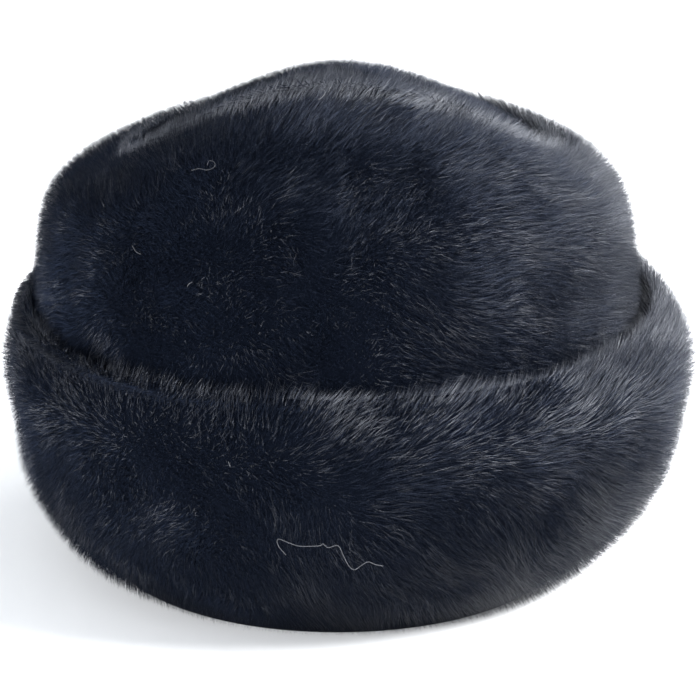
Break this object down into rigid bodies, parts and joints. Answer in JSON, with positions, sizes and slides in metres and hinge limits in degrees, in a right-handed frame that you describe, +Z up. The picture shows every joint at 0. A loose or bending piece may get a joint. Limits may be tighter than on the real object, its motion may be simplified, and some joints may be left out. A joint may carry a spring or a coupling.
{
  "type": "faux fur hat",
  "caption": "Dark faux fur hat with an oval crown, an arched rim, a domed tip and a deep turned-up cuff, open below for the head.",
  "frame": {"origin": "on the surface that the hat rests on, under the middle of its bounding box", "axes": "-Y towards the front of the hat, +X towards the right of the picture, +Z up"},
  "size_m": [0.2624, 0.2908, 0.1897],
  "materials": {
    "faux_fur": "deep plush pile, blue-black with grey glints where the light catches it"
  },
  "bodies": {
    "root": {"crown_band": "faux_fur", "crown_tip": "faux_fur", "cuff": "faux_fur"}
  },
  "joints": []
}
